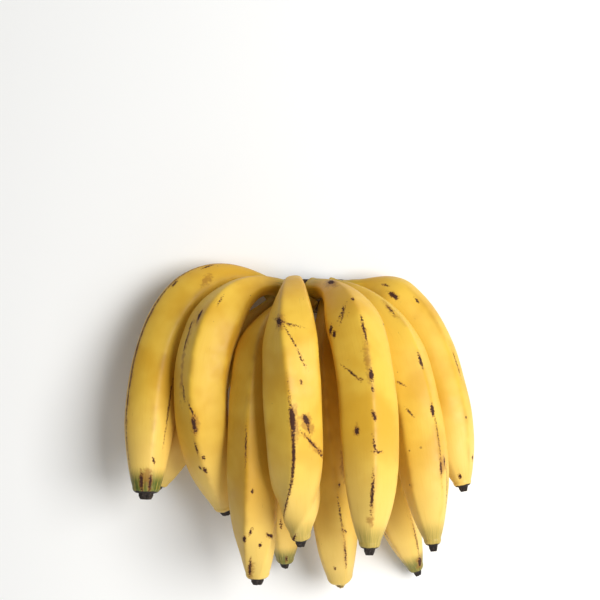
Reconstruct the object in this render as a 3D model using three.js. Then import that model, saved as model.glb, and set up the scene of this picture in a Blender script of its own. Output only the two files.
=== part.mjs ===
import * as THREE from 'three';

// A hand of large bananas laid down on its back. Millimetres, +Z up, origin under the middle of the hand.
// It is one crown with eleven fingers in two rows, and the fingers stay attached to the crown.

// ---- Driving dimensions -------------------------------------------------------------------------

// The crown is a curved pad cut from the fruit stalk. Angles turn about the stalk's axis, which is +Y
// before the hand is laid down, and 0 points straight up.
const CROWN_OUTER_RADIUS = 32;
const CROWN_INNER_RADIUS = 11;
const CROWN_FROM_ANGLE = -88;
const CROWN_TO_ANGLE = 73;
const CROWN_TOP = 9;
const CROWN_BOTTOM = -15;
const CROWN_EDGE_ROUND = 4;

// Where the fingers leave the crown: two rows, the inner fingers half a step on from the outer ones.
const FIRST_FINGER_ANGLE = -75;
const FINGER_STEP_ANGLE = 27;
const OUTER_ROW_HEIGHT = 2;
const INNER_ROW_HEIGHT = -10;
const JOIN_GAP = 0.3;

// The shape of every finger, as fractions of its length and of its half girth.
const PEDICEL_THICKNESS = 0.34;
const PEDICEL_ENDS = 0.03;
const BODY_FULL_FROM = 0.29;
const TAPER_FROM = 0.55;
const TAPER_TO = 0.96;
const COLLAR_TO = 0.97;
const NUB_FROM = 0.98;

// The dried nub's half thickness where it starts and at its end, as fractions of the collar's.
const NUB_THICKNESS = 0.55;
const NUB_END_THICKNESS = 0.33;

// Five soft ridges run along a finger. 0 is a round section and 1 a flat-sided pentagon.
const RIDGES = 5;
const RIDGE_SHARPNESS = 0.35;

// The mesh of a finger: a ridge and the middle of a side take turns around it.
const SIDES = 2 * RIDGES;
const RING_PLACES = [
  0, 0.035, 0.075, 0.115, 0.155, 0.2, 0.25, 0.31, 0.38, 0.46, 0.54, 0.62, 0.7, 0.77, 0.83, 0.88, 0.92, 0.95,
  0.97, 0.98, 1,
];
const CENTRE_STEPS = 200;

// Each finger leaves the crown toward (azimuth, rise) and ends pointing down the hand, leaning by
// side and out, all in degrees. droop says how early it turns, neck how long its thin part is, and
// collar how thick its tip is just before the nub, as a fraction of its girth.
const OUTER_FINGERS = [
  { azimuth: -85, rise: 39, side: -1, out: 10.5, droop: 3, length: 216, girth: 37, neck: 1.1, collar: 0.53 },
  { azimuth: -46.5, rise: 20, side: 14, out: -19.5, droop: 2.4, length: 211, girth: 37, neck: 1.2, collar: 0.4 },
  { azimuth: -5, rise: 23, side: 3, out: -9.5, droop: 3, length: 222, girth: 37, neck: 1.4, collar: 0.38 },
  { azimuth: 26, rise: 8, side: -0.5, out: 1.5, droop: 2.8, length: 221, girth: 38, neck: 1.1, collar: 0.38 },
  { azimuth: 50, rise: -1, side: 6.5, out: 5.5, droop: 3.6, length: 214, girth: 36, neck: 1.3, collar: 0.33 },
  { azimuth: 82, rise: 14, side: 11, out: 9.5, droop: 3.9, length: 183, girth: 35.5, neck: 0.7, collar: 0.36 },
];
const INNER_FINGERS = [
  { azimuth: -81, rise: -31, side: -23, out: -4, droop: 2.7, length: 162, girth: 34, neck: 1.3, collar: 0.4 },
  { azimuth: -24, rise: -7, side: 1.5, out: -6, droop: 3.6, length: 217, girth: 34.5, neck: 0.9, collar: 0.48 },
  { azimuth: -41, rise: -58, side: 1, out: -14, droop: 3, length: 197, girth: 33, neck: 1.5, collar: 0.4 },
  { azimuth: -9, rise: -28, side: 6, out: -21, droop: 3.1, length: 221, girth: 34, neck: 1.5, collar: 0.55 },
  { azimuth: 3, rise: -60, side: 19, out: -16, droop: 3, length: 212, girth: 34, neck: 1.5, collar: 0.36 },
];

// ---- Materials ----------------------------------------------------------------------------------

const peel = (name, color) => new THREE.MeshStandardMaterial({ name, color, roughness: 0.45, metalness: 0 });
const outerPeel = peel('ripe_peel', 0xe0b53c);
const innerPeel = peel('deep_yellow_peel', 0xd8a024);
const crownSkin = new THREE.MeshStandardMaterial({ name: 'crown', color: 0x7a6a48, roughness: 0.85, metalness: 0 });

// ---- The crown ----------------------------------------------------------------------------------

const radians = THREE.MathUtils.degToRad;

// A curved pad: an arc-shaped outline stood on edge and drawn out along Y. The rounding of its edges
// grows the outline, so the outline is drawn that much smaller all round.
function crownGeometry() {
  const outerRadius = CROWN_OUTER_RADIUS - JOIN_GAP - CROWN_EDGE_ROUND;
  const innerRadius = CROWN_INNER_RADIUS + CROWN_EDGE_ROUND;
  const endRound = CROWN_EDGE_ROUND / ((CROWN_OUTER_RADIUS + CROWN_INNER_RADIUS) / 2);
  const from = radians(90 - CROWN_FROM_ANGLE) - endRound;
  const to = radians(90 - CROWN_TO_ANGLE) + endRound;
  const outline = new THREE.Shape();
  outline.absarc(0, 0, outerRadius, from, to, true);
  outline.absarc(0, 0, innerRadius, to, from, false);
  const geometry = new THREE.ExtrudeGeometry(outline, {
    depth: CROWN_TOP - CROWN_BOTTOM - 2 * CROWN_EDGE_ROUND,
    bevelSize: CROWN_EDGE_ROUND,
    bevelThickness: CROWN_EDGE_ROUND,
    bevelSegments: 3,
    curveSegments: 14,
  });
  // The outline's plane becomes X and Z, and its depth runs down Y.
  geometry.rotateX(Math.PI / 2);
  geometry.translate(0, CROWN_TOP - CROWN_EDGE_ROUND, 0);
  return geometry;
}

// ---- The fingers --------------------------------------------------------------------------------

// A unit vector turned by azimuth about Y from straight up, then raised toward +Y by rise.
function heading(azimuth, rise) {
  const a = radians(azimuth);
  const r = radians(rise);
  return new THREE.Vector3(Math.cos(r) * Math.sin(a), Math.sin(r), Math.cos(r) * Math.cos(a));
}

// The way a finger points at its tip: down the hand, leaning sideways and upward.
function tipHeading(side, out) {
  const s = radians(side);
  const o = radians(out);
  return new THREE.Vector3(Math.sin(s), -Math.cos(s) * Math.cos(o), Math.cos(s) * Math.sin(o));
}

// The direction at place u, from 0 at the crown to 1 at the tip: a turn in one plane that slows down.
function directionAt(finger, u) {
  const start = heading(finger.azimuth, finger.rise);
  const end = tipHeading(finger.side, finger.out);
  const angle = start.angleTo(end);
  const turned = angle * (1 - (1 - u) ** finger.droop);
  return start.multiplyScalar(Math.sin(angle - turned)).addScaledVector(end, Math.sin(turned)).normalize();
}

// Points along the middle of a finger, CENTRE_STEPS + 1 of them, evenly spaced.
function centreline(finger, start) {
  const points = [start.clone()];
  for (let i = 0; i < CENTRE_STEPS; i += 1) {
    const step = directionAt(finger, (i + 0.5) / CENTRE_STEPS).multiplyScalar(finger.length / CENTRE_STEPS);
    points.push(points[i].clone().add(step));
  }
  return points;
}

// Half the thickness at place u, as a fraction of half the girth.
function thicknessAt(u, finger) {
  const grown = THREE.MathUtils.smoothstep(u, PEDICEL_ENDS, BODY_FULL_FROM * finger.neck);
  const swelling = THREE.MathUtils.lerp(PEDICEL_THICKNESS, 1, grown);
  const tapered = THREE.MathUtils.clamp((u - TAPER_FROM) / (TAPER_TO - TAPER_FROM), 0, 1) ** 3;
  const body = swelling * THREE.MathUtils.lerp(1, finger.collar, tapered);
  const alongNub = Math.max(u - NUB_FROM, 0) / (1 - NUB_FROM);
  const nub = finger.collar * THREE.MathUtils.lerp(NUB_THICKNESS, NUB_END_THICKNESS, alongNub);
  return THREE.MathUtils.lerp(body, nub, THREE.MathUtils.smoothstep(u, COLLAR_TO, NUB_FROM));
}

// How far the skin is from the middle, at an angle around the finger, for a half thickness of 1.
function ridgedSection(angle) {
  const halfSide = Math.PI / RIDGES;
  const pastRidge = THREE.MathUtils.euclideanModulo(angle + halfSide, 2 * halfSide) - halfSide;
  return 1 + RIDGE_SHARPNESS * (1 / Math.cos(halfSide - Math.abs(pastRidge)) - 1);
}

// A closed lathe of the finger, made straight and then carried onto its curved middle line.
function fingerGeometry(finger, rootAngle, rowHeight) {
  const profile = RING_PLACES.map((u) => new THREE.Vector2(thicknessAt(u, finger) * finger.girth / 2, u));
  const outline = [new THREE.Vector2(0, 0), ...profile, new THREE.Vector2(0, 1)];
  const geometry = new THREE.LatheGeometry(outline, SIDES);

  const outOfCrown = heading(rootAngle, 0);
  const root = outOfCrown.clone().multiplyScalar(CROWN_OUTER_RADIUS).setY(rowHeight);
  const middle = centreline(finger, root);
  const across = tipHeading(finger.side, finger.out).cross(directionAt(finger, 0)).normalize();

  const position = geometry.getAttribute('position');
  const onLathe = new THREE.Vector3();
  for (let i = 0; i < position.count; i += 1) {
    onLathe.fromBufferAttribute(position, i);
    const u = onLathe.y;
    const angle = Math.atan2(onLathe.x, onLathe.z);
    const radius = Math.hypot(onLathe.x, onLathe.z) * ridgedSection(angle);
    const outward = across.clone().cross(directionAt(finger, u));
    const offset = outward.multiplyScalar(radius * Math.cos(angle)).addScaledVector(across, radius * Math.sin(angle));
    // The first ring lies flat against the crown.
    if (u === 0) offset.addScaledVector(outOfCrown, -offset.dot(outOfCrown));
    onLathe.copy(middle[Math.round(u * CENTRE_STEPS)]).add(offset);
    position.setXYZ(i, onLathe.x, onLathe.y, onLathe.z);
  }
  geometry.computeVertexNormals();
  return geometry;
}

// ---- The hand -----------------------------------------------------------------------------------

const hand = new THREE.Group();

const crown = new THREE.Mesh(crownGeometry(), crownSkin);
crown.name = 'crown';
hand.add(crown);

function addRow(name, fingers, firstAngle, rowHeight, material) {
  fingers.forEach((finger, i) => {
    const rootAngle = firstAngle + i * FINGER_STEP_ANGLE;
    const mesh = new THREE.Mesh(fingerGeometry(finger, rootAngle, rowHeight), material);
    mesh.name = `${name}_${i + 1}`;
    hand.add(mesh);
  });
}
addRow('outer_finger', OUTER_FINGERS, FIRST_FINGER_ANGLE, OUTER_ROW_HEIGHT, outerPeel);
addRow('inner_finger', INNER_FINGERS, FIRST_FINGER_ANGLE + FINGER_STEP_ANGLE / 2, INNER_ROW_HEIGHT, innerPeel);

// It lies on the crown's edge, with inner_finger_1 and inner_finger_5 within 5 mm of the surface. The origin
// goes under the middle of its box.
const box = new THREE.Box3().setFromObject(hand, true);
hand.position.set(-(box.min.x + box.max.x) / 2, -(box.min.y + box.max.y) / 2, -box.min.z);

const bunch = new THREE.Group();
bunch.add(hand);
bunch.updateMatrixWorld(true);

export default bunch;
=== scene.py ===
"""A hand of large ripe bananas lying on its back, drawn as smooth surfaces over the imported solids.

Every banana is one closed skin, carried along a middle line that droops from the crown: a thin stalk, a
body with five soft ridges, a blunt tip and a dried nub. The crown is a curved woody pad that the stalks grow
from. The larger marks and bruises are laid out on each skin as a field in millimetres, and the peel's nodes
fray their edges and add the small flecks. Lengths are in metres, but a mark's are in millimetres, and angles
are in degrees.
"""
from dataclasses import dataclass

import bpy
import numpy as np
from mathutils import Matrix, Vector


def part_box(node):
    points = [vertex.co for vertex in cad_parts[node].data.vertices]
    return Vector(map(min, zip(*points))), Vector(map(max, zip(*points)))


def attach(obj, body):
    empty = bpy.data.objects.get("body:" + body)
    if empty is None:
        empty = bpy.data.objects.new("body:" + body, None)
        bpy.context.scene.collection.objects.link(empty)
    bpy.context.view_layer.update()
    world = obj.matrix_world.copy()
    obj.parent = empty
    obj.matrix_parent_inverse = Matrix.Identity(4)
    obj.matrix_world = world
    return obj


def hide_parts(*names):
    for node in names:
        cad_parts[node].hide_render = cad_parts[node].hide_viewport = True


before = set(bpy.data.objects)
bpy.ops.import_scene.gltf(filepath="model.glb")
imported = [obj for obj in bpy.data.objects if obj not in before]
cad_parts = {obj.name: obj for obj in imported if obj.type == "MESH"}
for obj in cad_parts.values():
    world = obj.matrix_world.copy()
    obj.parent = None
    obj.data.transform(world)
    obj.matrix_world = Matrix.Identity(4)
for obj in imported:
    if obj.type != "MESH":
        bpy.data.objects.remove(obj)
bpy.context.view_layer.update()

bl_info = {
    "name": "Hand of Bananas",
    "version": (1, 0, 0),
    "blender": (4, 5, 0),
    "location": "3D View > Sidebar > Bananas",
    "description": "Builds the crown, the two rows of bananas and their stage",
    "category": "Add Mesh",
}

MM = 0.001
BODY = "root"

# ---- The hand's plan ----------------------------------------------------------------------------

# The crown's pad turns about the stalk's axis, which runs along Y. Angle 0 is straight up.
CROWN_OUTER = 31.7 * MM
CROWN_INNER = 11 * MM
CROWN_ANGLES = (-88, 73)
CROWN_TOP = 9 * MM
CROWN_BOTTOM = -15 * MM

# The place on the stalk's axis where heights along it are 0, from the crown's box in the frame.
CROWN_LOW, CROWN_HIGH = (np.array(corner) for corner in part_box("crown"))
STALK = np.array([CROWN_LOW[0] + CROWN_OUTER, CROWN_HIGH[1] - CROWN_TOP, CROWN_HIGH[2] - CROWN_OUTER])

# Where the bananas leave the crown: two rows, the inner ones half a step on from the outer ones.
FIRST_ANGLE = -75
ANGLE_STEP = 27
OUTER_ROW = 2 * MM
INNER_ROW = -10 * MM
JOIN_GAP = 0.3 * MM

# The outline of every banana, as fractions of its length and of half its girth.
STALK_THICKNESS = 0.34
STALK_ENDS = 0.03
BODY_FULL_FROM = 0.29
TAPER_FROM = 0.55
TAPER_TO = 0.96
COLLAR_FROM = 0.962
NUB_FROM = 0.98

# The dried nub's half thickness where it starts and at its end, as fractions of the collar's.
NUB_THICKNESS = 0.55
NUB_END_THICKNESS = 0.33

RIDGES = 5
HALF_SIDE = 180 / RIDGES

# How much a fully sharp banana's sides draw in, so that its girth stays about the same.
FLATTENING = 0.055

# How far in and out of a mark its field still tells the distance, in millimetres.
FIELD_REACH = 3.0


@dataclass(frozen=True)
class Banana:
    """One banana: its solid in the frame, its line, its size, its ridges, its ripeness and its marks.

    It leaves the crown at angle root, toward azimuth and rise, and ends leaning by side and out. droop says
    how early it turns and neck how long its thin part is. collar is the thickness of its tip just before the
    nub over its girth, and dried how dark the nub is. The first ridge starts at the angle ridge around the
    banana, leans over evenly by lean, and hooks round by hook near the tip. Marks and bruises are (place from
    0 to 1, angle from the first ridge, length and width in millimetres, slant in degrees).
    """
    node: str
    root: float
    row: float
    azimuth: float
    rise: float
    side: float
    out: float
    droop: float
    length: float
    girth: float
    neck: float
    collar: float
    ridge: float
    lean: float
    hook: float
    sharpness: float
    green: float
    dried: float = 1.0
    marks: tuple = ()
    bruises: tuple = ()


def outer(number, **details):
    """A banana of the outer row, counted from the left."""
    root = FIRST_ANGLE + ANGLE_STEP * (number - 1)
    return Banana(node=f"outer_finger_{number}", root=root, row=OUTER_ROW, **details)


def inner(number, **details):
    """A banana of the inner row, half a step on from the outer one of the same number."""
    root = FIRST_ANGLE + ANGLE_STEP * (number - 0.5)
    return Banana(node=f"inner_finger_{number}", root=root, row=INNER_ROW, **details)


OUTER_BANANAS = (
    outer(
        1, azimuth=-85, rise=39, side=-1, out=10.5, droop=3, length=0.216, girth=0.037, neck=1.1,
        collar=0.53, ridge=25, lean=-4, hook=0, sharpness=0.35, green=1,
        marks=(
            (0.50, 0, 130, 1.8, 0), (0.315, 9, 5, 2.4, 0), (0.695, 106, 40, 1.5, 0),
            (0.878, 80, 4.5, 1.8, 20), (0.945, 42, 14, 2.6, 0), (0.948, 76, 13, 2.4, 0),
            (0.21, 11, 7, 1.6, 10),
        ),
        bruises=((0.24, 54, 13, 7, 20), (0.93, 60, 14, 9, 0), (0.5, 0, 140, 4, 0)),
    ),
    outer(
        2, azimuth=-46.5, rise=20, side=14, out=-19.5, droop=2.4, length=0.211, girth=0.037, neck=1.2,
        collar=0.4, ridge=14, lean=28, hook=0, sharpness=0.7, green=0.1,
        marks=(
            (0.33, -17, 7, 3.4, 10), (0.36, -39, 5, 1.8, 0), (0.40, -35, 14, 1.8, 0),
            (0.535, -20, 8, 1.4, 20), (0.555, -19, 5, 1.4, 20), (0.59, 0, 8, 1.6, 25),
            (0.635, 2, 12, 3, 0), (0.71, -4, 7, 1.6, 0), (0.745, 6, 3.5, 1.8, 0), (0.78, -11, 3, 2, 0),
            (0.79, 0, 4.5, 2.6, 0), (0.27, 11, 5, 1, 10),
        ),
        bruises=(
            (0.21, -41, 12, 5, 10), (0.635, 3, 16, 6, 0), (0.33, -17, 11, 6, 0), (0.44, -31, 56, 4.5, 0),
        ),
    ),
    outer(
        3, azimuth=-5, rise=23, side=3, out=-9.5, droop=3, length=0.222, girth=0.037, neck=1.4,
        collar=0.38, ridge=-42, lean=75, hook=-190, sharpness=0.9, green=0.45,
        marks=(
            (0.335, -6, 6, 3.6, 15), (0.33, -6, 11, 1, 60), (0.345, 20, 11, 1.1, 82),
            (0.385, 18, 18, 0.8, 28), (0.435, 33, 7, 1, 25), (0.595, 1, 18, 3.6, 0), (0.70, 0, 70, 2.2, 0),
            (0.84, 0, 30, 1.4, 0), (0.60, 31, 8, 4, 30), (0.625, 35, 6, 1.8, 20), (0.667, 43, 20, 1.5, 45),
            (0.705, 65, 6, 1.4, 40), (0.32, 94, 20, 1.8, 0), (0.37, 84, 22, 1.8, 0), (0.43, 76, 12, 1, 0),
            (0.965, 78, 7, 1.8, 0), (0.495, 28, 2.6, 1.8, 0),
        ),
        bruises=((0.335, -6, 12, 8, 0), (0.61, 33, 18, 10, 30), (0.67, 45, 28, 5, 45), (0.60, 4, 24, 7, 0)),
    ),
    outer(
        4, azimuth=26, rise=8, side=-0.5, out=1.5, droop=2.8, length=0.221, girth=0.038, neck=1.1,
        collar=0.38, ridge=-12, lean=-8, hook=-10, sharpness=0.7, green=0.55,
        marks=(
            (0.29, -31, 12, 1.4, -35), (0.285, -34, 8, 1.2, -50), (0.275, -28, 6, 1.6, -20),
            (0.255, -1, 3, 2.2, 0), (0.325, 2, 5, 1.6, 0), (0.355, 1, 13, 2, 0),
            (0.315, -66, 7.5, 2.4, -25), (0.335, -61, 5, 2.6, -10), (0.465, -38, 13, 1.5, 45),
            (0.485, -24, 4, 1.2, 80), (0.48, 0, 8, 3, 0), (0.517, 0, 4, 1.6, 0), (0.59, 0, 6.5, 2.6, 20),
            (0.63, -37, 5, 3.4, 0), (0.67, -1, 8, 1.5, 10), (0.69, 6, 6, 1.5, 90), (0.81, -3, 23, 2, 0),
            (0.125, -14, 8, 4, 0),
        ),
        bruises=((0.13, -16, 20, 10, 0), (0.44, -4, 24, 5, 0), (0.63, -37, 9, 6, 0), (0.89, -2, 7, 6, 0)),
    ),
    outer(
        5, azimuth=50, rise=-1, side=6.5, out=5.5, droop=3.6, length=0.214, girth=0.036, neck=1.3,
        collar=0.33, ridge=-15, lean=0, hook=0, sharpness=0.6, green=0.5,
        marks=(
            (0.41, 0, 10, 2.6, 0), (0.46, -58, 6, 1.2, 45), (0.555, -51, 6, 1.2, 30),
            (0.56, -1, 8, 3.2, 0), (0.65, 2, 30, 0.9, 0), (0.735, 1, 11, 2, 0), (0.72, 19, 5, 2.4, 0),
            (0.80, 32, 22, 1.5, 0), (0.23, -8, 8, 1.4, 0),
        ),
        bruises=((0.23, -8, 15, 4, 0), (0.73, 12, 15, 8, 0)),
    ),
    outer(
        6, azimuth=82, rise=14, side=11, out=9.5, droop=3.9, length=0.183, girth=0.0355, neck=0.7,
        collar=0.36, ridge=-44, lean=0, hook=0, sharpness=0.3, green=0.1,
        marks=(
            (0.19, -41, 8, 3.4, 0), (0.14, -25, 4, 1.8, 0), (0.26, -9, 4, 2, 0), (0.88, 25, 4, 2.4, 0),
            (0.94, -49, 3.4, 2.2, 0), (0.52, 15, 16, 1.2, 0),
        ),
        bruises=((0.19, -41, 11, 5, 0),),
    ),
)

INNER_BANANAS = (
    inner(
        1, azimuth=-81, rise=-31, side=-23, out=-4, droop=2.7, length=0.162, girth=0.034, neck=1.3,
        collar=0.4, ridge=60, lean=0, hook=0, sharpness=0.6, green=0.2,
        marks=((0.55, 3, 9, 1.4, 0), (0.72, -30, 4, 2.2, 0)),
        bruises=((0.7, 30, 16, 8, 0),),
    ),
    inner(
        2, azimuth=-24, rise=-7, side=1.5, out=-6, droop=3.6, length=0.217, girth=0.0345, neck=0.9,
        collar=0.48, ridge=10, lean=0, hook=-60, sharpness=0.9, green=0.1,
        marks=(
            (0.54, -2, 18, 1.2, 0), (0.835, -3, 4.5, 3, 0), (0.81, 13, 5, 1.6, -20),
            (0.83, 71, 8, 2.6, 60), (0.855, 44, 3.4, 2.4, 0), (0.935, 20, 12, 2.4, 0),
            (0.68, 13, 3, 1.6, 0),
        ),
        bruises=((0.945, 26, 18, 6, 0), (0.835, -1, 7, 5, 0)),
    ),
    inner(
        3, azimuth=-41, rise=-58, side=1, out=-14, droop=3, length=0.197, girth=0.033, neck=1.5,
        collar=0.4, ridge=10, lean=0, hook=0, sharpness=0.6, green=0.9,
        marks=((0.80, 12, 6, 1.4, 0), (0.95, 30, 5, 1.8, 0)),
        bruises=((0.62, 10, 22, 6, 0),),
    ),
    inner(
        4, azimuth=-9, rise=-28, side=6, out=-21, droop=3.1, length=0.221, girth=0.034, neck=1.5,
        collar=0.55, ridge=4, lean=34, hook=0, sharpness=0.8, green=0.15, dried=0.5,
        marks=(
            (0.70, -1, 20, 1.2, 0), (0.84, 0, 22, 1.2, 0), (0.60, 8, 3, 1.4, 0), (0.76, 6, 4, 1.2, 20),
            (0.90, -37, 3, 1.6, 0),
        ),
        bruises=((0.55, 30, 24, 8, 0),),
    ),
    inner(
        5, azimuth=3, rise=-60, side=19, out=-16, droop=3, length=0.212, girth=0.034, neck=1.5,
        collar=0.36, ridge=-20, lean=0, hook=0, sharpness=0.8, green=0.9,
        marks=((0.79, -16, 9, 1.2, 20), (0.94, 74, 8, 3.6, 0), (0.85, 72, 26, 1, 0)),
        bruises=((0.94, 74, 13, 7, 0),),
    ),
)


# ---- What a user would change -------------------------------------------------------------------

def colour_property(name, description, default):
    """A colour setting, as scene-linear red, green and blue."""
    return bpy.props.FloatVectorProperty(
        name=name, description=description, default=default, subtype="COLOR", size=3, min=0, max=1)


class BananaShapeSettings(bpy.types.PropertyGroup):
    rings: bpy.props.IntProperty(
        name="Rings", description="Rings of corners along a banana", default=320, min=60, max=480)
    steps: bpy.props.IntProperty(
        name="Steps", description="Corners around each ring", default=144, min=40, max=200)
    ridge_rounding: bpy.props.FloatProperty(
        name="Ridge Rounding", description="How wide the top of a ridge is, as an angle around the banana",
        default=np.radians(5), subtype="ANGLE")
    unevenness: bpy.props.FloatProperty(
        name="Unevenness", description="Height of the skin's slow waves", default=0.3 * MM,
        subtype="DISTANCE")
    flare: bpy.props.FloatProperty(
        name="Stalk Flare", description="How much thicker a stalk is where it grows from the crown",
        default=0.35, min=0, max=1, subtype="FACTOR")
    buried: bpy.props.FloatProperty(
        name="Buried Stalk", description="How far a stalk runs into the crown", default=4 * MM,
        subtype="DISTANCE")


class PeelSettings(bpy.types.PropertyGroup):
    ripe: colour_property("Ripe", "The outer row's clear yellow", (0.79, 0.50, 0.055))
    deep: colour_property("Deep", "The richer yellow between paler patches", (0.69, 0.385, 0.026))
    # The inner row's two yellows are darker copies of the outer row's: mostly painted shade of the inner row
    # lying under the outer one, and partly a deeper yellow of their own.
    inner_ripe_shaded: colour_property("Inner Ripe", "The inner row's yellow", (0.76, 0.475, 0.055))
    inner_deep_shaded: colour_property("Inner Deep", "The inner row's orange yellow", (0.66, 0.36, 0.024))
    pale: colour_property("Pale", "The paler peel toward the tips", (0.85, 0.60, 0.16))
    green: colour_property("Green", "The unripe green near some tips", (0.085, 0.115, 0.014))
    bruise: colour_property("Bruise", "Soft brown bruising", (0.31, 0.11, 0.013))
    fleck: colour_property("Fleck", "Small brown flecks", (0.138, 0.0482, 0.0103))
    mark: colour_property("Mark", "Black brown marks and scratches", (0.055, 0.018, 0.008))
    dry: colour_property("Dry", "The dried nub at each tip", (0.020, 0.014, 0.011))
    dry_light: colour_property("Dry Light", "The greyer fibres of the nub", (0.11, 0.08, 0.06))
    roughness: bpy.props.FloatProperty(
        name="Roughness", description="How matt the waxy peel is", default=0.48, min=0, max=1,
        subtype="FACTOR")


class CrownSettings(bpy.types.PropertyGroup):
    boss_height: bpy.props.FloatProperty(
        name="Boss Height", description="How far the crown swells toward each stalk", default=2.2 * MM,
        subtype="DISTANCE")
    boss_width: bpy.props.FloatProperty(
        name="Boss Width", description="Half width of each swelling", default=6 * MM, subtype="DISTANCE")
    wrinkles: bpy.props.FloatProperty(
        name="Wrinkles", description="Height of the woody wrinkles", default=0.35 * MM, subtype="DISTANCE")
    skin: colour_property("Skin", "The olive skin between the stalks", (0.434, 0.305, 0.0685))
    wood: colour_property("Wood", "The grey brown woody side", (0.162, 0.0976, 0.0482))
    cut: colour_property("Cut", "The dark dried cut", (0.0343, 0.0144, 0.0103))


class StageSettings(bpy.types.PropertyGroup):
    floor_colour: colour_property("Floor Colour", "The plain pale floor", (0.922, 0.922, 0.905))
    floor_size: bpy.props.FloatProperty(
        name="Floor Size", description="Width of the floor", default=8, subtype="DISTANCE")
    lens: bpy.props.FloatProperty(
        name="Lens", description="Focal length of the camera in millimetres", default=85)
    camera_height: bpy.props.FloatProperty(
        name="Camera Height", description="Height of the camera over the stalk's axis", default=1.05,
        subtype="DISTANCE")
    key_power: bpy.props.FloatProperty(
        name="Key Light", description="Power of the large soft light in watts", default=28)
    fill_power: bpy.props.FloatProperty(
        name="Fill Light", description="Power of the small low light near the tips in watts", default=1.2)
    sky: bpy.props.FloatProperty(name="Sky", description="Strength of the white surroundings", default=0.27)


# ---- Shapes -------------------------------------------------------------------------------------

def smoothstep(x, start, end):
    """0 before start and 1 after end, with an even S between them."""
    t = np.clip((x - start) / (end - start), 0, 1)
    return t * t * (3 - 2 * t)


def unit(v):
    """v scaled to length 1."""
    return v / np.linalg.norm(v)


def heading(azimuth, rise):
    """A direction turned by azimuth about Y from straight up, then raised toward +Y by rise."""
    a, r = np.radians([azimuth, rise])
    return np.array([np.cos(r) * np.sin(a), np.sin(r), np.cos(r) * np.cos(a)])


def tip_heading(side, out):
    """The way a tip points: down the hand, leaning sideways and upward."""
    s, o = np.radians([side, out])
    return np.array([np.sin(s), -np.cos(s) * np.cos(o), np.cos(s) * np.sin(o)])


def middle_line(banana, places):
    """Points, directions along it, and directions outward, of a banana's middle line, and the one across.

    The direction turns in one plane, from the heading at the crown to the one at the tip, through the
    fraction 1 - (1 - u) ** droop of the angle between them at place u. The points are its running sum.
    """
    start = heading(banana.azimuth, banana.rise)
    end = tip_heading(banana.side, banana.out)
    bend = np.arccos(start @ end)

    def direction(u):
        turned = bend * (1 - (1 - u) ** banana.droop)
        return (np.outer(np.sin(bend - turned), start) + np.outer(np.sin(turned), end)) / np.sin(bend)

    fine = np.linspace(0, 1, 801)
    steps = direction((fine[1:] + fine[:-1]) / 2) * banana.length / (len(fine) - 1)
    root = STALK + (CROWN_OUTER + JOIN_GAP) * heading(banana.root, 0) + [0, banana.row, 0]
    line = root + np.vstack([np.zeros(3), np.cumsum(steps, axis=0)])
    points = np.column_stack([np.interp(places, fine, line[:, axis]) for axis in range(3)])
    along = direction(places)
    across = unit(np.cross(start, end))
    return points, along, np.cross(along, across), across


def half_thickness(banana, u):
    """Half the thickness at place u over half the girth: a thin stalk that swells by a smoothstep, a body
    that tapers with the cube of the place, and a quarter ellipse that closes it down to the nub."""
    grown = smoothstep(u, STALK_ENDS, BODY_FULL_FROM * banana.neck)
    swelling = STALK_THICKNESS + (1 - STALK_THICKNESS) * grown
    taper = np.clip((u - TAPER_FROM) / (TAPER_TO - TAPER_FROM), 0, 1) ** 3
    body = swelling * (1 - (1 - banana.collar) * taper)
    closing = np.clip((u - COLLAR_FROM) / (NUB_FROM - COLLAR_FROM), 0, 1)
    along_nub = np.clip((u - NUB_FROM) / (1 - NUB_FROM), 0, 1)
    nub = banana.collar * (NUB_THICKNESS + (NUB_END_THICKNESS - NUB_THICKNESS) * along_nub)
    return nub + (body - nub) * np.sqrt(1 - closing ** 2)


def from_first_ridge(banana, u, angle):
    """The angle around a banana counted from its first ridge, which leans over with the place and hooks
    round with its eighth power."""
    return angle - banana.ridge - banana.lean * u - banana.hook * u ** 8


def to_nearest_ridge(banana, u, angle):
    """The angle to the nearest of the five ridges, from 0 to half a side."""
    past = np.mod(from_first_ridge(banana, u, angle) + HALF_SIDE, 2 * HALF_SIDE) - HALF_SIDE
    return np.abs(past)


def ridged_section(banana, u, angle, rounding):
    """How far the skin is from the middle for a half thickness of 1: between a circle and a pentagon whose
    corners are rounded, sharpest along the body and fading at the stalk and the tip."""
    off_ridge = np.minimum(np.hypot(to_nearest_ridge(banana, u, angle), rounding), HALF_SIDE)
    pentagon = 1 / np.cos(np.radians(HALF_SIDE - off_ridge)) - 1
    sharpness = banana.sharpness * (0.5 + 0.5 * smoothstep(u, 0.05, 0.3))
    sharpness = sharpness * (1 - 0.6 * smoothstep(u, 0.8, TAPER_TO))
    return 1 - FLATTENING * sharpness + sharpness * pentagon


def slow_waves(banana, u, angle):
    """Three slow waves over the skin, each banana's at its own phase, dying out at both ends."""
    phase = banana.root
    turn = np.radians(angle)
    waves = np.sin(8 * u + turn + phase) + 0.6 * np.sin(18 * u - 2 * turn + 2 * phase)
    waves = waves + 0.35 * np.sin(33 * u + 3 * turn + 3 * phase)
    return waves * smoothstep(u, 0.05, 0.25) * (1 - smoothstep(u, 0.85, 0.95))


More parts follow.
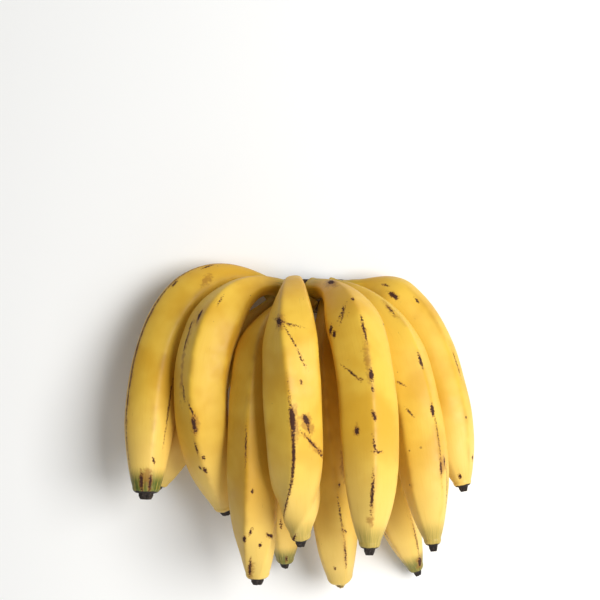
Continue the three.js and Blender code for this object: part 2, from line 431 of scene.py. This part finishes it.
def marks_field(banana, marks, u, angle, radius):
    """How deep each corner is inside the nearest mark, in millimetres, and below 0 outside all of them.

    A mark is an ellipse on the unrolled skin. Its depth is half its width times one minus the distance from
    its middle, measured in half lengths along its slant and in half widths across it.
    """
    field = np.full(np.broadcast(u, angle).shape, -FIELD_REACH)
    turned = from_first_ridge(banana, u, angle)
    for place, mark_angle, length, width, slant in marks:
        down = (u - place) * banana.length / MM
        side = np.radians(np.mod(turned - mark_angle + 180, 360) - 180) * radius / MM
        c, s = np.cos(np.radians(slant)), np.sin(np.radians(slant))
        distance = np.hypot((down * c + side * s) / (length / 2), (side * c - down * s) / (width / 2))
        field = np.maximum(field, (1 - distance) * width / 2)
    return np.minimum(field, FIELD_REACH)


def banana_surface(banana, shape):
    """The corners of a banana's skin as rings along it, their unrolled places, and the fields on them.

    A corner is the middle line's point plus half the thickness, times the ridged section, outward and across
    by the cosine and sine of its angle. Extra rings run back into the crown, and close the nub with a dip.
    """
    # The tip holds a larger share of the rings, because it is the most detailed part.
    tip_from, tip_share = 0.93, 0.22
    nub_dip = 1.3 * MM
    flare_length = 5 * MM
    angles = np.linspace(-180, 180, shape.steps, endpoint=False)[None, :]
    buried = np.linspace(-shape.buried, 0, 7)[:-1]
    body = np.concatenate([np.linspace(0, tip_from, int(shape.rings * (1 - tip_share)))[:-1],
                           np.linspace(tip_from, 1, int(shape.rings * tip_share))])
    closing = np.linspace(0, 1, 8)[1:-1]
    u = np.concatenate([np.zeros(len(buried)), body, np.ones(len(closing))])[:, None]
    push = np.concatenate([buried, np.zeros(len(body)), -nub_dip * np.sin(closing * np.pi / 2)])[:, None]
    shrink = np.concatenate([np.ones(len(buried) + len(body)), 1 - closing])[:, None]

    points, along, outward, across = middle_line(banana, u[:, 0])
    half = banana.girth / 2 * half_thickness(banana, u)
    half = half * (1 + shape.flare * np.exp(-(u * banana.length + push + shape.buried) / flare_length))
    turn = np.radians(angles)
    teeth = 0.16 * np.sin(3 * turn + banana.root) + 0.08 * np.sin(7 * turn + 2 * banana.root)
    ragged = 1 + smoothstep(u, NUB_FROM, NUB_FROM + 0.01) * teeth
    section = ridged_section(banana, u, angles, np.degrees(shape.ridge_rounding))
    radius = (half * section + shape.unevenness * slow_waves(banana, u, angles)) * ragged * shrink
    grid = points[:, None, :] + push[:, :, None] * along[:, None, :]
    grid = grid + (radius * np.cos(turn))[:, :, None] * outward[:, None, :]
    grid = grid + (radius * np.sin(turn))[:, :, None] * across

    # The seam is a column more, so that the unrolled skin ends a full turn on from where it starts.
    seam = np.append(angles, 180)[None, :]
    unrolled = np.stack(np.broadcast_arrays(seam / 360 * np.pi * banana.girth, u * banana.length), axis=-1)
    ridge_line = 7
    ridge = np.exp(-(to_nearest_ridge(banana, u, angles) / ridge_line) ** 2)
    fields = {
        "mark": marks_field(banana, banana.marks, u, angles, half),
        "bruise": marks_field(banana, banana.bruises, u, angles, half),
        "ridge": ridge * smoothstep(u, 0.1, 0.3) * (1 - smoothstep(u, 0.86, 0.95)),
        "along": u + 0 * angles,
        "green": banana.green * smoothstep(u, 0.89, 0.95) + 0 * angles,
        "dry": banana.dried * smoothstep(u, COLLAR_FROM + 0.008, NUB_FROM) + 0 * angles,
    }
    return grid, unrolled / (10 * MM), fields


def crown_surface(crown):
    """The corners of the crown's pad as sections along its arc, and the field that says where it was cut.

    A section is a rounded box in radius and height, a superellipse of power 4, and it shrinks to nothing
    at both ends of the arc as the side of a circle does. Its outer face swells toward each stalk.
    """
    sections, steps = 180, 160
    t = np.linspace(0, 1, sections + 2)[1:-1, None]
    around = np.linspace(0, 2 * np.pi, steps, endpoint=False)[None, :]
    first, last = CROWN_ANGLES
    angle = first + (last - first) * t
    middle = (CROWN_OUTER + CROWN_INNER) / 2
    arc = np.radians(last - first) * middle
    from_end = np.minimum(t, 1 - t) * arc
    end_round = 6 * MM
    ending = np.sqrt(1 - np.clip(1 - from_end / end_round, 0, 1) ** 2)

    def rounded(x):
        return np.sign(x) * np.abs(x) ** 0.5

    radial = rounded(np.cos(around)) * (CROWN_OUTER - CROWN_INNER) / 2 * ending
    upward = rounded(np.sin(around)) * (CROWN_TOP - CROWN_BOTTOM) / 2 * ending
    height = (CROWN_TOP + CROWN_BOTTOM) / 2 + upward

    swelling = np.zeros(np.broadcast(angle, around).shape)
    for banana in OUTER_BANANAS + INNER_BANANAS:
        sideways = np.radians(angle - banana.root) * CROWN_OUTER
        apart = np.hypot(sideways, height - banana.row) / crown.boss_width
        swelling = np.maximum(swelling, np.exp(-apart ** 2))
    facing_out = smoothstep(np.cos(around), 0, 0.6)
    wrinkle = np.sin(angle * 1.9 + 3 * around) * np.sin(angle * 0.7 - 5 * around + 1)
    wrinkle = wrinkle + 0.5 * np.sin(angle * 4.3)
    radius = middle + radial + crown.boss_height * swelling * facing_out * ending
    radius = radius + crown.wrinkles * wrinkle * ending
    height = height + 0.6 * crown.wrinkles * np.sin(angle * 2.7 + 2) * ending
    turn = np.radians(angle)
    grid = STALK + np.stack([radius * np.sin(turn), height, radius * np.cos(turn)], axis=-1)

    near_top = smoothstep(height, CROWN_TOP - 5 * MM, CROWN_TOP - 1.5 * MM)
    inward = smoothstep(-np.cos(around), -0.3, 0.5) + 0 * angle
    seam = np.append(around, 2 * np.pi)[None, :]
    unrolled = np.stack(np.broadcast_arrays(seam * 10 * MM, t * arc), axis=-1) / (10 * MM)
    return grid, unrolled, {"cut": np.clip(near_top + inward, 0, 1), "swelling": swelling * facing_out}


def closed_mesh(name, grid, unrolled, fields):
    """A mesh from rings of corners that wrap round, closed at both ends by a fan to a pole.

    grid is rings x steps x 3. unrolled has one step more, and gives the unrolled map's places. fields are
    rings x steps numbers, kept on the corners. The pole of an end is the mean of its last ring.
    """
    rings, steps = grid.shape[:2]
    corners = np.vstack([grid.reshape(-1, 3), grid[0].mean(axis=0), grid[-1].mean(axis=0)])
    first_pole, last_pole = rings * steps, rings * steps + 1
    row = np.arange(rings - 1)[:, None]
    column = np.arange(steps)[None, :]
    after = (column + 1) % steps
    quads = np.stack([row * steps + column, (row + 1) * steps + column, (row + 1) * steps + after,
                      row * steps + after], axis=-1).reshape(-1, 4)
    last = (rings - 1) * steps
    start_fan = np.stack([np.full(steps, first_pole), column[0], after[0]], axis=-1)
    end_fan = np.stack([np.full(steps, last_pole), last + after[0], last + column[0]], axis=-1)
    fans = np.vstack([start_fan, end_fan])

    mesh = bpy.data.meshes.new(name)
    mesh.vertices.add(len(corners))
    mesh.vertices.foreach_set("co", corners.astype(np.float32).ravel())
    mesh.loops.add(quads.size + fans.size)
    mesh.loops.foreach_set("vertex_index", np.concatenate([quads.ravel(), fans.ravel()]).astype(np.int32))
    mesh.polygons.add(len(quads) + len(fans))
    starts = np.concatenate([np.arange(len(quads)) * 4, quads.size + np.arange(len(fans)) * 3])
    mesh.polygons.foreach_set("loop_start", starts.astype(np.int32))
    mesh.update(calc_edges=True)
    mesh.polygons.foreach_set("use_smooth", np.ones(len(starts), dtype=bool))

    flat = np.stack([unrolled[:-1, :-1], unrolled[1:, :-1], unrolled[1:, 1:], unrolled[:-1, 1:]], axis=2)
    start_flat = np.stack([unrolled[0, :-1], unrolled[0, :-1], unrolled[0, 1:]], axis=1)
    end_flat = np.stack([unrolled[-1, :-1], unrolled[-1, 1:], unrolled[-1, :-1]], axis=1)
    places = np.concatenate([flat.reshape(-1, 2), start_flat.reshape(-1, 2), end_flat.reshape(-1, 2)])
    mesh.uv_layers.new(name="Skin").data.foreach_set("uv", places.astype(np.float32).ravel())
    for field, values in fields.items():
        numbers = np.concatenate([values.ravel(), [values[0].mean(), values[-1].mean()]])
        mesh.attributes.new(field, "FLOAT", "POINT").data.foreach_set("value", numbers.astype(np.float32))
    mesh.validate()
    return mesh


def add_piece(name, mesh, material, node):
    """Puts a finished mesh in the scene, riding on the hand in place of its solid."""
    piece = bpy.data.objects.new(name, mesh)
    bpy.context.scene.collection.objects.link(piece)
    mesh.materials.append(material)
    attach(piece, BODY)
    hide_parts(node)
    return piece


# ---- Finishes -----------------------------------------------------------------------------------

class NodeSheet:
    """A material's nodes, added one at a time. Inputs are numbers, colours or other nodes' outputs."""

    def __init__(self, name):
        self.material = bpy.data.materials.new(name)
        self.material.use_nodes = True
        self.tree = self.material.node_tree
        self.tree.nodes.clear()

    def add(self, kind, inputs=(), **settings):
        node = self.tree.nodes.new(f"ShaderNode{kind}")
        for setting, value in settings.items():
            setattr(node, setting, value)
        for socket, value in dict(inputs).items():
            if isinstance(value, bpy.types.NodeSocket):
                self.tree.links.new(value, node.inputs[socket])
            else:
                node.inputs[socket].default_value = value
        return node

    def field(self, name):
        """A field kept on the corners."""
        return self.add("Attribute", attribute_name=name).outputs["Fac"]

    def noise(self, place, scale, detail=3, roughness=0.5, distortion=0):
        inputs = {"Vector": place, "Scale": scale, "Detail": detail, "Roughness": roughness,
                  "Distortion": distortion}
        return self.add("TexNoise", inputs).outputs["Fac"]

    def stretched(self, place, scale):
        """place with each axis scaled, so that a pattern on it runs long and thin."""
        return self.add("Mapping", {"Vector": place, "Scale": scale}).outputs["Vector"]

    def math(self, operation, a, b=0.0):
        return self.add("Math", {0: a, 1: b}, operation=operation).outputs[0]

    def ramp(self, value, start, end, low=0.0, high=1.0):
        """value carried from start..end to low..high, smoothly and no further."""
        inputs = {"Value": value, "From Min": start, "From Max": end, "To Min": low, "To Max": high}
        return self.add("MapRange", inputs, interpolation_type="SMOOTHSTEP").outputs["Result"]

    def blend(self, share, first, second):
        """first where share is 0 and second where it is 1, as colours."""
        mix = self.add("Mix", data_type="RGBA")
        for socket, value in ((0, share), (6, first), (7, second)):
            if isinstance(value, bpy.types.NodeSocket):
                self.tree.links.new(value, mix.inputs[socket])
            else:
                mix.inputs[socket].default_value = value
        return mix.outputs[2]

    def finish(self, colour, roughness, bump, bump_height):
        """Joins colour, roughness and bump to the shader, and returns the material."""
        bumps = self.add("Bump", {"Height": bump, "Distance": bump_height, "Strength": 1.0})
        inputs = {"Base Color": colour, "Roughness": roughness, "Normal": bumps.outputs["Normal"],
                  "Specular IOR Level": 0.35}
        shader = self.add("BsdfPrincipled", inputs)
        output = self.add("OutputMaterial")
        self.tree.links.new(shader.outputs["BSDF"], output.inputs["Surface"])
        return self.material


def opaque(colour):
    """A colour setting with alpha 1."""
    return (*colour, 1.0)


def peel_material(name, peel, ripe, deep):
    """Banana peel: clouds of two yellows, paler and sometimes green toward the tip, faint fibres, a patchy
    brown rub along each ridge, bruises with soft edges, small flecks, and black brown marks with frayed
    edges."""
    sheet = NodeSheet(name)
    place = sheet.add("TexCoord").outputs["Object"]
    skin = sheet.add("UVMap", uv_map="Skin").outputs["UV"]
    along = sheet.field("along")

    clouds = sheet.ramp(sheet.noise(place, 22, 3, 0.55), 0.38, 0.62)
    colour = sheet.blend(clouds, opaque(ripe), opaque(deep))
    tip_share = sheet.ramp(along, 0.6, 0.93, 0, 0.75)
    colour = sheet.blend(tip_share, colour, opaque(peel.pale))
    fibres = sheet.noise(sheet.stretched(skin, (9, 0.5, 1)), 1, 4, 0.6)
    fibre_share = sheet.ramp(fibres, 0.5, 0.75, 0, 0.22)
    colour = sheet.blend(fibre_share, colour, opaque(peel.deep))
    stalk_share = sheet.math("MULTIPLY", sheet.ramp(along, 0.0, 0.10, 0.5, 0), sheet.ramp(fibres, 0.3, 0.6))
    colour = sheet.blend(stalk_share, colour, opaque(peel.green))
    rubbed = sheet.ramp(sheet.noise(place, 60, 2), 0.4, 0.65, 0, 0.3)
    ridge_share = sheet.math("MULTIPLY", sheet.field("ridge"), rubbed)
    colour = sheet.blend(ridge_share, colour, opaque(peel.bruise))
    green_share = sheet.math("MULTIPLY", sheet.field("green"), sheet.ramp(fibres, 0.3, 0.55, 0.35, 1))
    colour = sheet.blend(green_share, colour, opaque(peel.green))

    # Bruises: soft, blotchy and half transparent.
    blotches = sheet.noise(place, 260, 4, 0.65)
    bruise_depth = sheet.math("ADD", sheet.field("bruise"), sheet.ramp(blotches, 0.2, 0.8, -2.0, 2.0))
    colour = sheet.blend(sheet.ramp(bruise_depth, -0.6, 2.4, 0, 0.6), colour, opaque(peel.bruise))

    # Flecks: one in a few cells holds a small dot.
    cells = sheet.add("TexVoronoi", {"Vector": place, "Scale": 120.0, "Randomness": 1.0})
    parts = sheet.add("SeparateColor", {"Color": cells.outputs["Color"]})
    chosen = sheet.ramp(parts.outputs["Red"], 0.80, 0.82)
    size = sheet.ramp(parts.outputs["Green"], 0, 1, 0.03, 0.10)
    dot = sheet.ramp(sheet.math("SUBTRACT", cells.outputs["Distance"], size), 0.0, 0.03, 1, 0)
    fleck_share = sheet.math("MULTIPLY", sheet.math("MULTIPLY", chosen, dot), 0.8)
    colour = sheet.blend(fleck_share, colour, opaque(peel.fleck))

    # Fine scratches, long and thin along the skin.
    hairs = sheet.noise(sheet.stretched(skin, (14, 1.1, 1)), 1, 2, 0.5, 0.3)
    hair_share = sheet.ramp(hairs, 0.73, 0.78, 0, 0.55)
    colour = sheet.blend(hair_share, colour, opaque(peel.fleck))

    # Marks: their edges frayed by fine noise, with a brown fringe.
    fray = sheet.ramp(sheet.noise(place, 900, 3, 0.6), 0.25, 0.75, -0.75, 0.55)
    depth = sheet.math("ADD", sheet.field("mark"), fray)
    colour = sheet.blend(sheet.ramp(depth, -0.55, 0.1, 0, 0.75), colour, opaque(peel.bruise))
    mark_share = sheet.ramp(depth, -0.04, 0.28)
    colour = sheet.blend(mark_share, colour, opaque(peel.mark))

    dry = sheet.field("dry")
    grain = sheet.noise(place, 700, 4, 0.7)
    dry_colour = sheet.blend(sheet.ramp(grain, 0.5, 0.8), opaque(peel.dry), opaque(peel.dry_light))
    dry_share = sheet.ramp(sheet.math("ADD", dry, sheet.ramp(blotches, 0.3, 0.7, -0.2, 0.2)), 0.3, 0.7)
    colour = sheet.blend(dry_share, colour, dry_colour)

    dull = sheet.math("MAXIMUM", mark_share, dry_share)
    rough = sheet.ramp(dull, 0, 1, peel.roughness, 0.8)
    rough = sheet.math("ADD", rough, sheet.ramp(sheet.noise(place, 150, 3), 0.3, 0.7, -0.05, 0.06))
    pores = sheet.noise(place, 1400, 2, 0.5)
    height = sheet.math("MULTIPLY", pores, 0.10)
    height = sheet.math("ADD", height, sheet.math("MULTIPLY", fibres, 0.22))
    height = sheet.math("SUBTRACT", height, sheet.math("MULTIPLY", mark_share, 0.35))
    height = sheet.math("ADD", height, sheet.math("MULTIPLY", sheet.math("MULTIPLY", dry_share, grain), 1.5))
    return sheet.finish(colour, rough, height, 0.3 * MM)


def crown_material(crown):
    """Woody crown: olive skin on the swellings, grey brown wood between them, and a dark dried cut."""
    sheet = NodeSheet("crown_tissue")
    place = sheet.add("TexCoord").outputs["Object"]
    grain = sheet.noise(sheet.stretched(place, (1, 0.35, 1)), 420, 5, 0.65)
    patches = sheet.noise(place, 90, 4, 0.6)
    uneven = sheet.ramp(patches, 0.3, 0.7, -0.3, 0.3)
    skin_share = sheet.ramp(sheet.math("ADD", sheet.field("swelling"), uneven), 0.2, 0.75)
    colour = sheet.blend(skin_share, opaque(crown.wood), opaque(crown.skin))
    colour = sheet.blend(sheet.ramp(grain, 0.45, 0.75, 0, 0.5), colour, opaque(crown.cut))
    cut_edge = sheet.ramp(patches, 0.3, 0.7, -0.25, 0.25)
    cut_share = sheet.ramp(sheet.math("ADD", sheet.field("cut"), cut_edge), 0.3, 0.75)
    colour = sheet.blend(cut_share, colour, opaque(crown.cut))
    rough = sheet.ramp(grain, 0.3, 0.7, 0.75, 0.95)
    return sheet.finish(colour, rough, grain, 0.8 * MM)


def plain_material(name, colour, roughness):
    """One colour and one roughness, for the stage."""
    sheet = NodeSheet(name)
    shader = sheet.add("BsdfPrincipled", {"Base Color": opaque(colour), "Roughness": roughness})
    output = sheet.add("OutputMaterial")
    sheet.tree.links.new(shader.outputs["BSDF"], output.inputs["Surface"])
    return sheet.material


# ---- Operators ----------------------------------------------------------------------------------

def add_bananas(context, bananas, prefix, material):
    """Adds one piece for each banana of a row, counted from the left."""
    for number, banana in enumerate(bananas, start=1):
        name = f"{prefix}_{number}"
        mesh = closed_mesh(name, *banana_surface(banana, context.scene.banana_shape))
        add_piece(name, mesh, material, banana.node)


class BANANAS_OT_add_outer_row(bpy.types.Operator):
    """Add the six bananas of the outer row"""
    bl_idname = "bananas.add_outer_row"
    bl_label = "Outer Row"
    bl_options = {"REGISTER", "UNDO"}

    def execute(self, context):
        peel = context.scene.banana_peel
        material = peel_material("ripe_peel", peel, peel.ripe, peel.deep)
        add_bananas(context, OUTER_BANANAS, "outer_banana", material)
        return {"FINISHED"}


class BANANAS_OT_add_inner_row(bpy.types.Operator):
    """Add the five bananas of the inner row"""
    bl_idname = "bananas.add_inner_row"
    bl_label = "Inner Row"
    bl_options = {"REGISTER", "UNDO"}

    def execute(self, context):
        peel = context.scene.banana_peel
        # The inner row's peel takes the darker yellows, which are mostly painted shade and partly a deeper
        # yellow of its own.
        material = peel_material("deep_yellow_peel", peel, peel.inner_ripe_shaded, peel.inner_deep_shaded)
        add_bananas(context, INNER_BANANAS, "inner_banana", material)
        return {"FINISHED"}


class BANANAS_OT_add_crown(bpy.types.Operator):
    """Add the crown that the bananas grow from"""
    bl_idname = "bananas.add_crown"
    bl_label = "Crown"
    bl_options = {"REGISTER", "UNDO"}

    def execute(self, context):
        crown = context.scene.banana_crown
        mesh = closed_mesh("crown_pad", *crown_surface(crown))
        add_piece("crown_pad", mesh, crown_material(crown), "crown")
        return {"FINISHED"}


class BANANAS_OT_add_stage(bpy.types.Operator):
    """Add the pale floor, the soft lights, the surroundings and the camera"""
    bl_idname = "bananas.add_stage"
    bl_label = "Stage"
    bl_options = {"REGISTER", "UNDO"}

    def execute(self, context):
        stage = context.scene.banana_stage
        middle = STALK + np.array([-9, -6, 0]) * MM
        upper_right = middle + [0.90, 0.10, 1.30]
        below_the_tips = middle + [0.05, -0.75, 0.30]
        self.add_floor(context, stage)
        self.add_light(context, "Key", stage.key_power, 0.95, upper_right, middle)
        self.add_light(context, "Fill", stage.fill_power, 0.5, below_the_tips, middle)
        self.add_sky(context, stage)
        self.add_camera(context, stage, middle)
        return {"FINISHED"}

    def add_floor(self, context, stage):
        """A flat square just under the hand."""
        half = stage.floor_size / 2
        mesh = bpy.data.meshes.new("floor")
        corners = [(-half, -half, 0), (half, -half, 0), (half, half, 0), (-half, half, 0)]
        mesh.from_pydata(corners, [], [(0, 1, 2, 3)])
        mesh.materials.append(plain_material("floor", stage.floor_colour, 0.7))
        floor = bpy.data.objects.new("floor", mesh)
        context.scene.collection.objects.link(floor)

    def add_light(self, context, name, power, size, place, target):
        """A square soft light at place, turned so that it shines at target."""
        light = bpy.data.lights.new(name, "AREA")
        light.energy = power
        light.size = size
        lamp = bpy.data.objects.new(name, light)
        context.scene.collection.objects.link(lamp)
        lamp.location = place
        lamp.rotation_euler = Vector(target - place).to_track_quat("-Z", "Y").to_euler()

    def add_sky(self, context, stage):
        """White surroundings, the same all round."""
        world = bpy.data.worlds.new("Soft sky")
        world.use_nodes = True
        background = world.node_tree.nodes["Background"]
        background.inputs["Color"].default_value = (1, 1, 1, 1)
        background.inputs["Strength"].default_value = stage.sky
        context.scene.world = world
        context.scene.view_settings.view_transform = "Standard"

    def add_camera(self, context, stage, middle):
        """A camera straight over the hand, with the crown at the top of its view."""
        lens = bpy.data.cameras.new("Camera")
        lens.lens = stage.lens
        camera = bpy.data.objects.new("Camera", lens)
        camera.location = middle + [0, 0, stage.camera_height]
        context.scene.collection.objects.link(camera)
        bpy.context.scene.camera = camera


class BANANAS_PT_panel(bpy.types.Panel):
    """The hand's pieces and their settings"""
    bl_label = "Hand of Bananas"
    bl_idname = "BANANAS_PT_panel"
    bl_space_type = "VIEW_3D"
    bl_region_type = "UI"
    bl_category = "Bananas"

    def draw(self, context):
        for operator in OPERATORS:
            self.layout.operator(operator.bl_idname)
        for settings in SETTINGS:
            group = getattr(context.scene, settings)
            box = self.layout.box()
            for name in group.bl_rna.properties.keys():
                if name not in ("rna_type", "name"):
                    box.prop(group, name)


OPERATORS = (BANANAS_OT_add_crown, BANANAS_OT_add_outer_row, BANANAS_OT_add_inner_row, BANANAS_OT_add_stage)
SETTINGS = {
    "banana_shape": BananaShapeSettings,
    "banana_peel": PeelSettings,
    "banana_crown": CrownSettings,
    "banana_stage": StageSettings,
}


def register():
    for settings in SETTINGS.values():
        bpy.utils.register_class(settings)
    for name, settings in SETTINGS.items():
        setattr(bpy.types.Scene, name, bpy.props.PointerProperty(type=settings))
    for operator in OPERATORS:
        bpy.utils.register_class(operator)
    bpy.utils.register_class(BANANAS_PT_panel)


def unregister():
    bpy.utils.unregister_class(BANANAS_PT_panel)
    for operator in reversed(OPERATORS):
        bpy.utils.unregister_class(operator)
    for name, settings in SETTINGS.items():
        delattr(bpy.types.Scene, name)
        bpy.utils.unregister_class(settings)


def main():
    """Registers the add-on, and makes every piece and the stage."""
    register()
    bpy.ops.bananas.add_crown()
    bpy.ops.bananas.add_outer_row()
    bpy.ops.bananas.add_inner_row()
    bpy.ops.bananas.add_stage()


if __name__ == "__main__":
    main()
